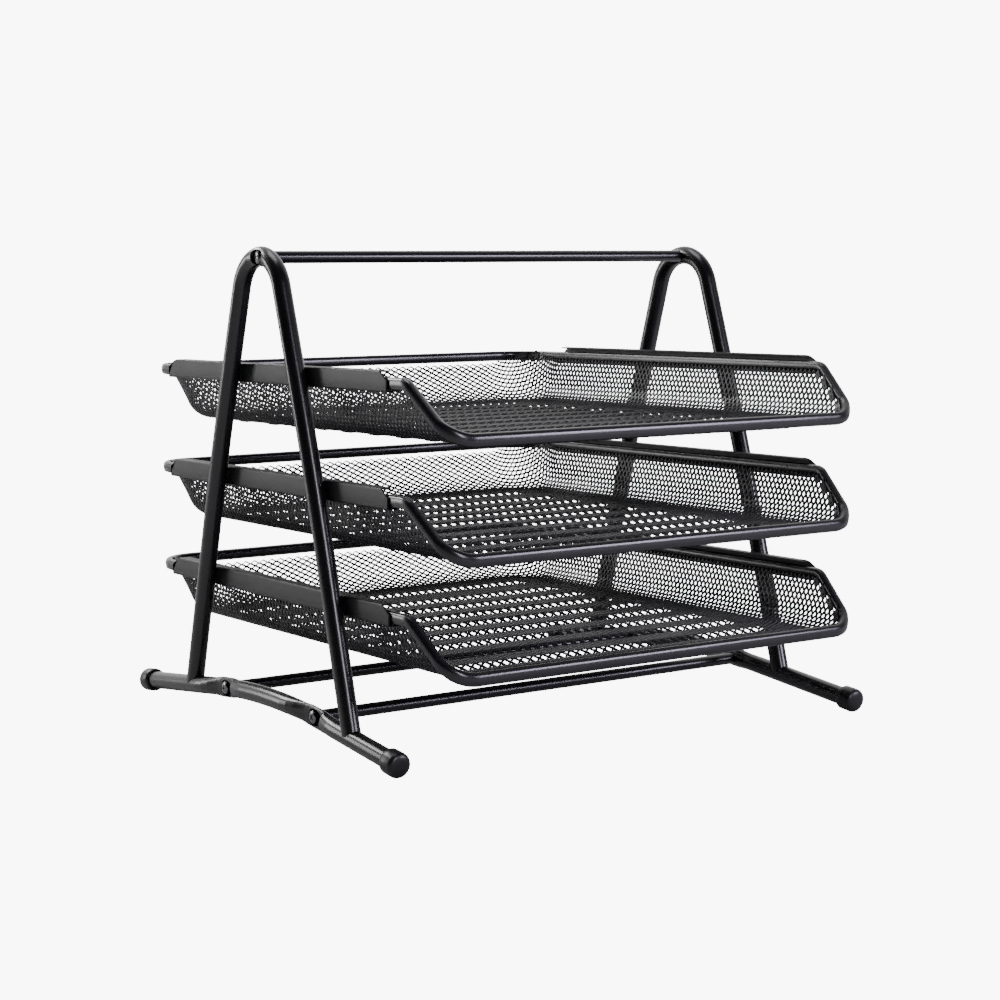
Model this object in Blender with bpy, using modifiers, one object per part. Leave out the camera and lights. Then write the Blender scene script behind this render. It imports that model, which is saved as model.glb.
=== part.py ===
"""Letter tray: three mesh trays that slide in channel runners between two tubular end frames.

Axes: +X to the object's right, +Y to the back (the trays slide out towards -Y), +Z up, floor at z = 0.
Driving dimensions are in millimetres and are turned into metres when an object is made.
"""

import math

import bmesh
import bpy
from mathutils import Matrix, Vector

MM = 0.001
GAP = 0.3  # clearance between pieces that touch
ORIGIN_SHIFT_Y = 3.5  # puts the middle of the whole object's box over the origin

# End frames
FRAME_X = 175.0  # centre plane of each end frame
TUBE_R = 6.0
ARCH_APEX_Z = 306.5
ARCH_BEND_R = 27.0
LEG_SLOPE_TOP = 0.31  # outward run per unit of drop above the bow
LEG_SLOPE_LOW = 0.265
BOW_TOP_Z, BOW_LOW_Z = 215.0, 125.0  # the leg bows gently between these heights
LEG_FOOT_Z = 15.0  # centreline height at which a leg meets its foot tube
FOOT_CREST_Z = 23.2
FOOT_BOW_Y = 66.0  # the foot tube is curved up to here and straight beyond
FOOT_END_Z = 7.9
FOOT_SHORT_Y, FOOT_LONG_Y = 153.5, 172.0  # the two unequal ends of a foot tube

# Foot caps
CAP_R = 8.0
CAP_LENGTH = 13.0
CAP_DOME = 1.2
CAP_EDGE_R = 1.2
CAP_SOCKET = 8.5

# Cross bars, handle and their screws
BAR_R = 4.0
BAR_FOOT_Y, BAR_FOOT_Z = 57.9, 19.8
SCREW_SHANK_R = 2.0
SCREW_SHANK_LENGTH = 16.0
SCREW_HEAD_R = 4.2
SCREW_HEAD_H = 1.5
CROSS_SLOT_W, CROSS_SLOT_L, CROSS_SLOT_DEPTH = 0.9, 4.6, 1.0
POCKET_SEAT = 0.0  # the pocket's floor, measured outwards from the tube's centre plane
POCKET_R, POCKET_MOUTH_R = 5.6, 8.6

# Channel runners
RUNNER_Z = (231.3, 162.0, 92.7)
RUNNER_H = 12.7
RUNNER_SHEET = 1.0
RUNNER_FLANGE = 7.5
RUNNER_SHORT_Y = (136.0, 127.5)  # short end's reach at the bottom and at the top
RUNNER_LONG_Y = (146.0, 135.0)
RUNNER_KNEE = 0.55  # the ends are upright up to this share of the height and slant above it
RUNNER_OUTER_X = FRAME_X - TUBE_R - GAP

# Trays, heights measured from the runner's mid height
RIM_W, RIM_H = 6.0, 7.6
RIM_X = RUNNER_OUTER_X - RUNNER_SHEET - 0.4 - RIM_W / 2
RIM_Z = -RUNNER_H / 2 + RUNNER_SHEET + GAP + RIM_H / 2
RIM_BACK_Y = 181.0
RIM_BACK_R = 28.0
RIM_BEND_Y = -152.0
RIM_BEND_R = 9.0
RAIL_Y, RAIL_Z = -188.0, -32.8
RAIL_CORNER_X = 158.0
RAIL_CORNER_R = 19.0

SHEET = 1.0
SHEET_INSET = RIM_W / 2 + GAP + SHEET / 2  # from the rim's centreline to the sheet's middle
WALL_TOP_Z = 2.2
FLOOR_Z = -35.2
FLOOR_X, FLOOR_BACK_Y, FLOOR_FRONT_Y = 138.8, 150.5, -178.0
FLOOR_BACK_R, FLOOR_FRONT_R = 18.0, 12.0
SHEET_BACK_R, SHEET_BEND_R, SHEET_RAIL_R = 24.0, 9.0, 15.0  # radii of the sheet's upper edge
BEND_SHARE, BEND_OUT = 0.38, 8.5  # where the wall leaves its bottom bend: share of its height, and how far it bulges
BELLY_OUT, BELLY_UP = 11.0, 4.0  # middle of the bend, from the floor's edge

GROOVE_DEPTH = 3.5
GROOVE_FLANK = 4.0
GROOVE_BOTTOM = 8.0
GROOVE_END_X = 126.0
GROOVE_PITCH = 32.7
GROOVE_FIELD_Y = -151.0  # front edge of the first groove of the even field
GROOVE_FIELD_COUNT = 8
GROOVE_BORDER_Y = (-174.0, 119.0)  # the two grooves outside the even field

CORNER_FAN = 9  # steps in which the wall turns each corner of the floor
SEARCH_STEPS = 24  # samples per straight stretch when looking for a path's nearest point
BODY_BLACK = (0.016, 0.016, 0.018, 1.0)


def clear_scene():
    for obj in list(bpy.data.objects):
        bpy.data.objects.remove(obj, do_unlink=True)


def new_collection(name):
    made = bpy.data.collections.new(name)
    bpy.context.scene.collection.children.link(made)
    return made


def principled(name, colour, roughness, metallic):
    made = bpy.data.materials.new(name)
    made.use_nodes = True
    shader = made.node_tree.nodes["Principled BSDF"]
    shader.inputs["Base Color"].default_value = colour
    shader.inputs["Roughness"].default_value = roughness
    shader.inputs["Metallic"].default_value = metallic
    return made


def add_object(name, data, collection, finish=None):
    """Links an object with this data; each part gets a material of its own in the given finish."""
    obj = bpy.data.objects.new(name, data)
    collection.objects.link(obj)
    if finish:
        data.materials.append(principled(name + "_finish", *finish))
    return obj


def as_cutter(obj):
    obj.hide_render = True
    obj.display_type = "WIRE"
    return obj


def smooth(mesh, degrees=40.0):
    mesh.shade_smooth()
    mesh.set_sharp_from_angle(angle=math.radians(degrees))


def path_curve(name, points, cyclic=False):
    """A poly curve through the points, in millimetres."""
    curve = bpy.data.curves.new(name, "CURVE")
    curve.dimensions = "3D"
    curve.twist_mode = "Z_UP"
    spline = curve.splines.new("POLY")
    spline.points.add(len(points) - 1)
    for vertex, point in zip(spline.points, points):
        vertex.co = (*(Vector(point) * MM), 1.0)
    spline.use_cyclic_u = cyclic
    return curve


def curve_to_mesh(name, curve, collection, finish=None):
    """Turns a bevelled curve into a mesh object with its caps welded on."""
    helper = add_object(name + "_path", curve, collection)
    bpy.context.view_layer.update()
    graph = bpy.context.evaluated_depsgraph_get()
    mesh = bpy.data.meshes.new_from_object(helper.evaluated_get(graph))
    bpy.data.objects.remove(helper, do_unlink=True)
    mesh.name = name
    work = bmesh.new()
    work.from_mesh(mesh)
    bmesh.ops.remove_doubles(work, verts=work.verts, dist=0.001 * MM)
    bmesh.ops.recalc_face_normals(work, faces=work.faces)
    work.to_mesh(mesh)
    work.free()
    smooth(mesh)
    return add_object(name, mesh, collection, finish)


def tube(name, points, radius, collection, finish=None):
    curve = path_curve(name, points)
    curve.bevel_depth = radius * MM
    curve.bevel_resolution = 2
    curve.use_fill_caps = True
    return curve_to_mesh(name, curve, collection, finish)


def turned(name, profile, steps, collection, finish=None):
    """A solid of revolution about +Z; the profile of (radius, z) points runs top to bottom."""
    mesh = bpy.data.meshes.new(name)
    work = bmesh.new()
    corners = [work.verts.new((r * MM, 0.0, z * MM)) for r, z in profile]
    for first, second in zip(corners, corners[1:]):
        work.edges.new((first, second))
    work.to_mesh(mesh)
    work.free()
    obj = add_object(name, mesh, collection, finish)
    screw = obj.modifiers.new("turn", "SCREW")
    screw.axis = "Z"
    screw.steps = steps
    screw.render_steps = steps
    screw.use_merge_vertices = True
    screw.merge_threshold = 0.00001
    screw.use_smooth_shade = True
    return obj


def cut(obj, cutter):
    boolean = obj.modifiers.new("cut_" + cutter.name, "BOOLEAN")
    boolean.operation = "DIFFERENCE"
    boolean.solver = "EXACT"
    boolean.object = cutter
    return boolean


def arc(centre, radius, start, end, count):
    """Points (a, b) on a circle arc, angles in degrees, both ends included."""
    points = []
    for k in range(count + 1):
        angle = math.radians(start + (end - start) * k / count)
        points.append((centre[0] + radius * math.cos(angle), centre[1] + radius * math.sin(angle)))
    return points


def fillet_path(corners, segments):
    """Rounds an open 3D polyline of (point, radius); a zero radius keeps the corner."""
    path = []
    for k, (corner, radius) in enumerate(corners):
        here = Vector(corner)
        if radius == 0 or k in (0, len(corners) - 1):
            path.append(here)
            continue
        back = (Vector(corners[k - 1][0]) - here).normalized()
        ahead = (Vector(corners[k + 1][0]) - here).normalized()
        half = back.angle(ahead) / 2
        reach = radius / math.tan(half)
        centre = here + (back + ahead).normalized() * (radius / math.sin(half))
        first = here + back * reach - centre
        last = here + ahead * reach - centre
        sweep = first.angle(last)
        for step in range(segments + 1):
            share = step / segments
            weight_a = math.sin((1 - share) * sweep) / math.sin(sweep)
            weight_b = math.sin(share * sweep) / math.sin(sweep)
            path.append(centre + first * weight_a + last * weight_b)
    return path


# ---------------------------------------------------------------- end frames

def leg_y(z):
    """Distance of a leg's centreline from the middle plane at height z."""
    tangent = math.atan(LEG_SLOPE_TOP)
    start_y = ARCH_BEND_R * math.cos(tangent)
    start_z = ARCH_APEX_Z - ARCH_BEND_R + ARCH_BEND_R * math.sin(tangent)
    y = start_y + LEG_SLOPE_TOP * (start_z - z)
    if z < BOW_TOP_Z:
        bow = min(BOW_TOP_Z - z, BOW_TOP_Z - BOW_LOW_Z)
        change = LEG_SLOPE_TOP - LEG_SLOPE_LOW
        y -= change * bow * bow / (2 * (BOW_TOP_Z - BOW_LOW_Z))
        y -= change * max(BOW_LOW_Z - z, 0.0)
    return y


def arch_path(side):
    tangent = math.degrees(math.atan(LEG_SLOPE_TOP))
    bend = arc((0.0, ARCH_APEX_Z - ARCH_BEND_R), ARCH_BEND_R, tangent, 180 - tangent, 12)
    heights = [LEG_FOOT_Z, 66.0, BOW_LOW_Z, 155.0, 185.0, BOW_TOP_Z]
    leg = [(leg_y(z), z) for z in heights]
    half = leg + bend + [(-y, z) for y, z in reversed(leg)]
    return [(side * FRAME_X, y, z) for y, z in half]


def foot_z(y, end_y):
    """Height of the foot tube's centreline: a shallow crest, then straight down to the end."""
    slope = (FOOT_CREST_Z - FOOT_END_Z) / (end_y - FOOT_BOW_Y / 2)
    if y < FOOT_BOW_Y:
        return FOOT_CREST_Z - slope * y * y / (2 * FOOT_BOW_Y)
    return FOOT_CREST_Z - slope * (y - FOOT_BOW_Y / 2)


def foot_path(side):
    """The foot tube's short end points forward on the left side and back on the right side."""
    points = []
    for direction, end_y in ((-1, FOOT_SHORT_Y), (1, FOOT_LONG_Y)):
        stations = [FOOT_BOW_Y * k / 6 for k in range(1, 7)] + [end_y]
        branch = [(direction * y, foot_z(y, end_y)) for y in stations]
        points = list(reversed(branch)) + [(0.0, FOOT_CREST_Z)] if direction < 0 else points + branch
    return [(side * FRAME_X, -side * y, z) for y, z in points]


def screw_sites(side):
    """The (y, z) of the three screws of one end frame."""
    return [(0.0, ARCH_APEX_Z - 0.6), (-BAR_FOOT_Y, BAR_FOOT_Z), (BAR_FOOT_Y, BAR_FOOT_Z)]


def along_x(obj, side, x, y, z):
    """Turns an object made along +Z so that its +Z points outwards, and places it."""
    obj.matrix_world = Matrix.Translation(Vector((side * x, y, z)) * MM) @ Matrix.Rotation(
        side * math.pi / 2, 4, "Y"
    )
    return obj


def pocket_cutter(name, side, y, z):
    """A flared pocket in the tube's outer half and the screw's clearance hole through the tube."""
    hole_r = SCREW_SHANK_R + GAP
    profile = [
        (0.0, 12.0),
        (POCKET_MOUTH_R + 4.0, 12.0),
        (POCKET_MOUTH_R, TUBE_R + 1.0),
        (POCKET_R, POCKET_SEAT + 1.2),
        (POCKET_R - 1.0, POCKET_SEAT),
        (hole_r, POCKET_SEAT),
        (hole_r, -12.0),
        (0.0, -12.0),
    ]
    return along_x(as_cutter(turned(name, profile, 24, CUTTERS)), side, FRAME_X, y, z)


def end_frame(side, label):
    steel = (BODY_BLACK, 0.34, 0.0)
    arch = tube(label + "_arch_tube", arch_path(side), TUBE_R, PARTS, steel)
    foot = tube(label + "_foot_tube", foot_path(side), TUBE_R, PARTS, steel)
    arch_clearance = as_cutter(tube(label + "_arch_clearance", arch_path(side), TUBE_R + GAP, CUTTERS))
    foot_clearance = as_cutter(tube(label + "_foot_clearance", foot_path(side), TUBE_R + GAP, CUTTERS))
    cut(arch, foot_clearance)
    for k, (y, z) in enumerate(screw_sites(side)):
        owner = arch if k == 0 else foot
        cut(owner, pocket_cutter(f"{label}_pocket_{k}", side, y, z))
    return arch_clearance, foot_clearance


def foot_cap(side, direction, label):
    """A turned plastic cap over a foot tube's end, with a flat sole on the floor."""
    short = (direction < 0) == (side < 0)
    end_y = FOOT_SHORT_Y if short else FOOT_LONG_Y
    slope = math.atan((FOOT_CREST_Z - FOOT_END_Z) / (end_y - FOOT_BOW_Y / 2))
    edge = arc((CAP_R - CAP_EDGE_R, -CAP_DOME - CAP_EDGE_R), CAP_EDGE_R, 80, 0, 4)
    profile = [(0.0, 0.0), ((CAP_R - CAP_EDGE_R) / 2, -CAP_DOME / 4)] + edge
    profile += [
        (CAP_R, -CAP_LENGTH + 0.5),
        (CAP_R - 0.5, -CAP_LENGTH),
        (TUBE_R + GAP, -CAP_LENGTH),
        (TUBE_R + GAP, -CAP_LENGTH + CAP_SOCKET),
        (0.0, -CAP_LENGTH + CAP_SOCKET),
    ]
    cap = turned(f"{label}_cap", profile, 28, PARTS, (BODY_BLACK, 0.55, 0.0))
    outward = Vector((0.0, direction * math.cos(slope), -math.sin(slope)))
    tube_end = Vector((side * FRAME_X, direction * end_y, FOOT_END_Z))
    tip = tube_end + outward * (CAP_LENGTH - CAP_SOCKET + GAP)
    turn = Matrix.Rotation(-direction * (math.pi / 2 + slope), 4, "X")
    cap.matrix_world = Matrix.Translation(tip * MM) @ turn
    cut(cap, GROUND)
    return cap


def cross_bar(name, y, z, tubes):
    """A solid bar between the end frames, coped to the tubes and drilled at both ends."""
    bar = tube(name, [(-FRAME_X, y, z), (FRAME_X, y, z)], BAR_R, PARTS, (BODY_BLACK, 0.3, 0.0))
    for clearance in tubes:
        cut(bar, clearance)
    for side in (-1, 1):
        reach = SCREW_SHANK_LENGTH + 1.0
        drill = turned(
            f"{name}_drill_{'left' if side < 0 else 'right'}",
            [(0.0, 4.0), (SCREW_SHANK_R + GAP, 4.0), (SCREW_SHANK_R + GAP, -reach), (0.0, -reach - 1.0)],
            24,
            CUTTERS,
        )
        cut(bar, along_x(as_cutter(drill), side, FRAME_X, y, z))
    return bar


def screw(name, side, y, z):
    """A pan-head screw with a cross recess, seated in its pocket."""
    head = [(0.0, SCREW_HEAD_H)]
    head += [(r * SCREW_HEAD_R, h * SCREW_HEAD_H) for r, h in ((0.55, 0.94), (0.85, 0.7), (1.0, 0.3), (1.0, 0.0))]
    shank = [
        (SCREW_SHANK_R, 0.0),
        (SCREW_SHANK_R, 0.8 - SCREW_SHANK_LENGTH),
        (SCREW_SHANK_R - 0.6, -SCREW_SHANK_LENGTH),
        (0.0, -SCREW_SHANK_LENGTH),
    ]
    seat = FRAME_X + POCKET_SEAT + GAP
    made = along_x(turned(name, head + shank, 20, PARTS, (BODY_BLACK, 0.25, 0.6)), side, seat, y, z)
    mesh = bpy.data.meshes.new(name + "_recess")
    work = bmesh.new()
    for size in ((CROSS_SLOT_W, CROSS_SLOT_L), (CROSS_SLOT_L, CROSS_SLOT_W)):
        box = bmesh.ops.create_cube(work, size=1.0)["verts"]
        bmesh.ops.scale(work, verts=box, vec=Vector((*size, 2 * CROSS_SLOT_DEPTH)) * MM)
    work.to_mesh(mesh)
    work.free()
    recess = as_cutter(add_object(name + "_recess", mesh, CUTTERS))
    along_x(recess, side, seat + SCREW_HEAD_H, y, z)
    cut(made, recess).use_self = True
    return made


def runner_reach(ends, share):
    """How far a runner reaches at a share of its height: upright up to the knee, slanted above it."""
    bottom, top = ends
    slant = max(share - RUNNER_KNEE, 0.0) / (1.0 - RUNNER_KNEE)
    return bottom + (top - bottom) * slant


def runner(side, z, name):
    """A channel of folded sheet, open towards the tray; its short end points forward on the left side."""
    outer, inner = RUNNER_OUTER_X, RUNNER_OUTER_X - RUNNER_FLANGE
    half = RUNNER_H / 2
    knee = RUNNER_H * RUNNER_KNEE - half
    section = [
        (inner, half),
        (outer, half),
        (outer, knee),
        (outer, -half),
        (inner, -half),
        (inner, -half + RUNNER_SHEET),
        (outer - RUNNER_SHEET, -half + RUNNER_SHEET),
        (outer - RUNNER_SHEET, knee),
        (outer - RUNNER_SHEET, half - RUNNER_SHEET),
        (inner, half - RUNNER_SHEET),
    ]
    mesh = bpy.data.meshes.new(name)
    work = bmesh.new()
    rings = []
    for direction in (-1, 1):
        ends = RUNNER_SHORT_Y if direction == side else RUNNER_LONG_Y
        ring = []
        for x, height in section:
            reach = runner_reach(ends, (height + half) / RUNNER_H)
            ring.append(work.verts.new(Vector((side * x, direction * reach, z + height)) * MM))
        work.faces.new(ring)
        rings.append(ring)
    for k in range(len(section)):
        n = (k + 1) % len(section)
        work.faces.new((rings[0][k], rings[0][n], rings[1][n], rings[1][k]))
    bmesh.ops.triangulate(work, faces=work.faces)
    bmesh.ops.recalc_face_normals(work, faces=work.faces)
    if work.calc_volume(signed=True) < 0.0:
        bmesh.ops.reverse_faces(work, faces=work.faces)
    work.to_mesh(mesh)
    work.free()
    return add_object(name, mesh, PARTS, ((0.035, 0.035, 0.037, 1.0), 0.4, 0.0))


# --------------------------------------------------------------------- trays

def rim_corners(inset, top_z, rail_z, back_r, bend_r, front_r):
    """Right half of a loop parallel to the rim, from the middle of the back to the middle of the rail."""
    return [
        ((0.0, RIM_BACK_Y - inset, top_z), 0.0),
        ((RIM_X - inset, RIM_BACK_Y - inset, top_z), back_r),
        ((RIM_X - inset, RIM_BEND_Y + 0.3 * inset, top_z), bend_r),
        ((RAIL_CORNER_X - inset, RAIL_Y + inset, rail_z), front_r),
        ((0.0, RAIL_Y + inset, rail_z), 0.0),
    ]


def tray_rim(name, z):
    """The tray's rolled rim: one closed loop that drops at the front into the rail."""
    half = fillet_path(rim_corners(0.0, RIM_Z, RAIL_Z, RIM_BACK_R, RIM_BEND_R, RAIL_CORNER_R), 5)
    loop = half + [Vector((-p.x, p.y, p.z)) for p in reversed(half[1:-1])]
    curve = path_curve(name, [p + Vector((0.0, 0.0, z)) for p in loop], cyclic=True)
    profile = path_curve(
        name + "_section",
        [
            (RIM_W / 2 * math.copysign(abs(math.cos(a)) ** 0.75, math.cos(a)),
             RIM_H / 2 * math.copysign(abs(math.sin(a)) ** 0.75, math.sin(a)), 0.0)
            for a in (math.tau * (k + 0.5) / 12 for k in range(12))
        ],
        cyclic=True,
    )
    curve.bevel_mode = "OBJECT"
    curve.bevel_object = as_cutter(add_object(name + "_section", profile, CUTTERS))
    return curve_to_mesh(name, curve, PARTS, (BODY_BLACK, 0.3, 0.0))


def groove_fronts():
    field = [GROOVE_FIELD_Y + GROOVE_PITCH * k for k in range(GROOVE_FIELD_COUNT)]
    return sorted([*field, *GROOVE_BORDER_Y])


def grid_lines():
    """The floor grid's lines: x stations with the grooves' ends, y stations with (y, in a groove)."""
    x_half = [30.0, 75.0, 100.0, GROOVE_END_X - 1.5 * GROOVE_FLANK, GROOVE_END_X]
    xs = [-x for x in reversed(x_half)] + x_half
    ys = [(FLOOR_FRONT_Y + 2.0, False)]
    for front in groove_fronts():
        back = front + 2 * GROOVE_FLANK + GROOVE_BOTTOM
        ys += [(front, False), (front + GROOVE_FLANK, True)]
        ys += [(back - GROOVE_FLANK, True), (back, False)]
    return xs, ys


def boundary_of(xs, ys):
    """Grid indices round the floor grid, counter-clockwise from its front left corner."""
    last_i, last_j = len(xs) - 1, len(ys) - 1
    ring = [(i, 0) for i in range(last_i)] + [(last_i, j) for j in range(last_j)]
    ring += [(i, last_j) for i in range(last_i, 0, -1)] + [(0, j) for j in range(last_j, 0, -1)]
    return ring


def sample(path, share):
    """The point at a share 0..1 of a polyline's length."""
    lengths = [(b - a).length for a, b in zip(path, path[1:])]
    left = share * sum(lengths)
    for a, b, length in zip(path, path[1:], lengths):
        if left <= length:
            return a.lerp(b, left / length)
        left -= length
    return path[-1].copy()


def nearest_share(path, x, y):
    """Share of the path's length at which it is nearest to (x, y) in plan."""
    lengths = [0.0]
    for a, b in zip(path, path[1:]):
        lengths.append(lengths[-1] + (b - a).length)
    best, share = None, 0.0
    for a, b, start in zip(path, path[1:], lengths):
        for k in range(SEARCH_STEPS + 1):
            point = a.lerp(b, k / SEARCH_STEPS)
            off = (point.x - x) ** 2 + (point.y - y) ** 2
            if best is None or off < best:
                best, share = off, (start + (b - a).length * k / SEARCH_STEPS) / lengths[-1]
    return share


def heading(foot):
    """Where on the rim a wall heads for from a point of the floor's right edge: corners rise to corners."""
    if foot.y > 0.0:
        floor_r, rim_r = FLOOR_BACK_R, SHEET_BACK_R
        floor_x, floor_y = FLOOR_X - floor_r, FLOOR_BACK_Y - floor_r
        rim_x, rim_y = RIM_X - SHEET_INSET - rim_r, RIM_BACK_Y - SHEET_INSET - rim_r
    else:
        floor_r, rim_r = FLOOR_FRONT_R, SHEET_RAIL_R
        floor_x, floor_y = FLOOR_X - floor_r, -FLOOR_FRONT_Y - floor_r
        rim_x, rim_y = RAIL_CORNER_X - SHEET_INSET - rim_r, -RAIL_Y - SHEET_INSET - rim_r
    grow = rim_r / floor_r
    x = min(foot.x, floor_x) * rim_x / floor_x + max(foot.x - floor_x, 0.0) * grow
    away = abs(foot.y)
    y = min(away, floor_y) * rim_y / floor_y + max(away - floor_y, 0.0) * grow
    return x, math.copysign(y, foot.y)


def wall_stations(ring, xs, ys, floor_loop):
    """(grid index, side, share of the floor's edge) of each column of the wall.

    The grid's points next to its corners face the ends of the edge's corner arcs, and a fan fills each arc.
    """
    shares = []
    for i, j in ring:
        x, y = abs(xs[i]), ys[j][0]
        radius, edge, beside = FLOOR_BACK_R, FLOOR_BACK_Y, ys[-2][0]
        if y < 0.0:
            radius, edge, beside = FLOOR_FRONT_R, -FLOOR_FRONT_Y, -ys[1][0]
        x *= (FLOOR_X - radius) / xs[-2]
        y *= (edge - radius) / beside
        shares.append(nearest_share(floor_loop, x, y))
    stations = []
    for k, (i, j) in enumerate(ring):
        mirror = -1 if xs[i] < 0 else 1
        if i not in (0, len(xs) - 1) or j not in (0, len(ys) - 1):
            stations.append(((i, j), mirror, shares[k]))
            continue
        before, after = shares[k - 1], shares[(k + 1) % len(ring)]
        for step in range(1, CORNER_FAN):
            stations.append(((i, j), mirror, before + (after - before) * step / CORNER_FAN))
    return stations


def tray_mesh(name, z):
    """The mesh basket as a thin solid sheet: a grooved floor that bends up into the side and back walls."""
    xs, ys = grid_lines()
    ring = boundary_of(xs, ys)
    floor_loop = fillet_path(
        [
            ((0.0, FLOOR_BACK_Y, FLOOR_Z), 0.0),
            ((FLOOR_X, FLOOR_BACK_Y, FLOOR_Z), FLOOR_BACK_R),
            ((FLOOR_X, FLOOR_FRONT_Y, FLOOR_Z), FLOOR_FRONT_R),
            ((0.0, FLOOR_FRONT_Y, FLOOR_Z), 0.0),
        ],
        8,
    )
    rim_loop = fillet_path(
        rim_corners(SHEET_INSET, WALL_TOP_Z, RAIL_Z - 1.0, SHEET_BACK_R, SHEET_BEND_R, SHEET_RAIL_R), 8
    )
    mesh = bpy.data.meshes.new(name)
    work = bmesh.new()
    grid = {}
    for i, x in enumerate(xs):
        for j, (y, pressed) in enumerate(ys):
            drop = GROOVE_DEPTH if pressed and 0 < i < len(xs) - 1 else 0.0
            grid[i, j] = work.verts.new(Vector((x, y, z + FLOOR_Z - drop)) * MM)
    for i in range(len(xs) - 1):
        for j in range(len(ys) - 1):
            work.faces.new((grid[i, j], grid[i + 1, j], grid[i + 1, j + 1], grid[i, j + 1]))
    columns = []
    for index, mirror, share in wall_stations(ring, xs, ys, floor_loop):
        foot = sample(floor_loop, share)
        top = sample(rim_loop, nearest_share(rim_loop, *heading(foot)))
        rise = (top.z - FLOOR_Z) / (WALL_TOP_Z - FLOOR_Z)
        out = Vector((top.x - foot.x, top.y - foot.y, 0.0)).normalized()
        belly = foot + (out * BELLY_OUT + Vector((0.0, 0.0, BELLY_UP))) * rise
        mid = foot.lerp(top, BEND_SHARE) + out * (BEND_OUT * rise)
        column = [grid[index]]
        for point in (foot, belly, mid, top):
            column.append(work.verts.new(Vector((mirror * point.x, point.y, z + point.z)) * MM))
        columns.append(column)
    for k, column in enumerate(columns):
        following = columns[(k + 1) % len(columns)]
        for low in range(4):
            corners = [column[low], column[low + 1], following[low + 1], following[low]]
            if corners[0] is corners[3]:
                corners.pop()
            work.faces.new(corners)
    bmesh.ops.remove_doubles(work, verts=work.verts, dist=0.01 * MM)
    bmesh.ops.recalc_face_normals(work, faces=work.faces)
    work.to_mesh(mesh)
    work.free()
    basket = add_object(name, mesh, PARTS, (BODY_BLACK, 0.42, 0.0))
    skin = basket.modifiers.new("sheet", "SOLIDIFY")
    skin.thickness = SHEET * MM
    skin.offset = 0.0
    skin.use_even_offset = True
    return basket


def ground_block():
    mesh = bpy.data.meshes.new("below_floor")
    work = bmesh.new()
    bmesh.ops.create_cube(work, size=1.0)
    bmesh.ops.scale(work, verts=work.verts, vec=Vector((500.0, 500.0, 20.0)) * MM)
    work.to_mesh(mesh)
    work.free()
    block = as_cutter(add_object("below_floor", mesh, CUTTERS))
    block.location.z = -10.0 * MM
    return block


clear_scene()
PARTS = new_collection("letter_tray")
CUTTERS = new_collection("cutters")
GROUND = ground_block()

arch_clearances = []
foot_clearances = []
for side, label in ((-1, "left"), (1, "right")):
    arch_clearance, foot_clearance = end_frame(side, label)
    arch_clearances.append(arch_clearance)
    foot_clearances.append(foot_clearance)
    for direction, end in ((-1, "front"), (1, "back")):
        foot_cap(side, direction, f"{label}_{end}")
    for (y, z), place in zip(screw_sites(side), ("handle", "front_bar", "back_bar")):
        screw(f"{label}_{place}_screw", side, y, z)
    for z, level in zip(RUNNER_Z, ("top", "middle", "bottom")):
        runner(side, z, f"{label}_{level}_runner")

cross_bar("handle_bar", 0.0, ARCH_APEX_Z - 0.6, arch_clearances)
cross_bar("front_bar", -BAR_FOOT_Y, BAR_FOOT_Z, foot_clearances)
cross_bar("back_bar", BAR_FOOT_Y, BAR_FOOT_Z, foot_clearances)

for z, level in zip(RUNNER_Z, ("top", "middle", "bottom")):
    tray_rim(level + "_tray_rim", z)
    tray_mesh(level + "_tray_mesh", z)

for obj in bpy.data.objects:
    obj.location.y += ORIGIN_SHIFT_Y * MM
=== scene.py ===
"""Looks of the letter tray: coated tubes, channel runners and expanded-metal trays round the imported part."""

import math

import bmesh
import bpy
import numpy as np
from mathutils import Matrix, Vector


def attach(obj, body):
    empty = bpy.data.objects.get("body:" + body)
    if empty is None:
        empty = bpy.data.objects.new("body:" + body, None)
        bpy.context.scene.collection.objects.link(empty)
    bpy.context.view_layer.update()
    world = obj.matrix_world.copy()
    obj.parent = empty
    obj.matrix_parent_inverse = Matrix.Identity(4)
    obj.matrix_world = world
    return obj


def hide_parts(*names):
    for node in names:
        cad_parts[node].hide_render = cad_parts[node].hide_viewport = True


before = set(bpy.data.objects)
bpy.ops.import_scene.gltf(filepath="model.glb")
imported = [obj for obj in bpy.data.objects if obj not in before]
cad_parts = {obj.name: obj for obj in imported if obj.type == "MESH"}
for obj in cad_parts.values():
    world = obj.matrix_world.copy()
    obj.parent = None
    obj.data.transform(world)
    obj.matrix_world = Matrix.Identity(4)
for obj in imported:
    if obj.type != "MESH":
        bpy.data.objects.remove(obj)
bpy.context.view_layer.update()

MM = 0.001
SHIFT_Y = 3.5  # the part's own shift of its box onto the origin
LEVELS = {"top": 231.3, "middle": 162.0, "bottom": 92.7}  # heights of the runners' middles
GAP = 0.3  # clearance between pieces that touch
ROUND_FACETS = 48  # facets round a tube, bar or screw
BOXY_POWER = 0.8  # below 1, an oval fills more of its box
SHARP_DEGREES = 35.0  # edges that turn more than this stay sharp

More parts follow.
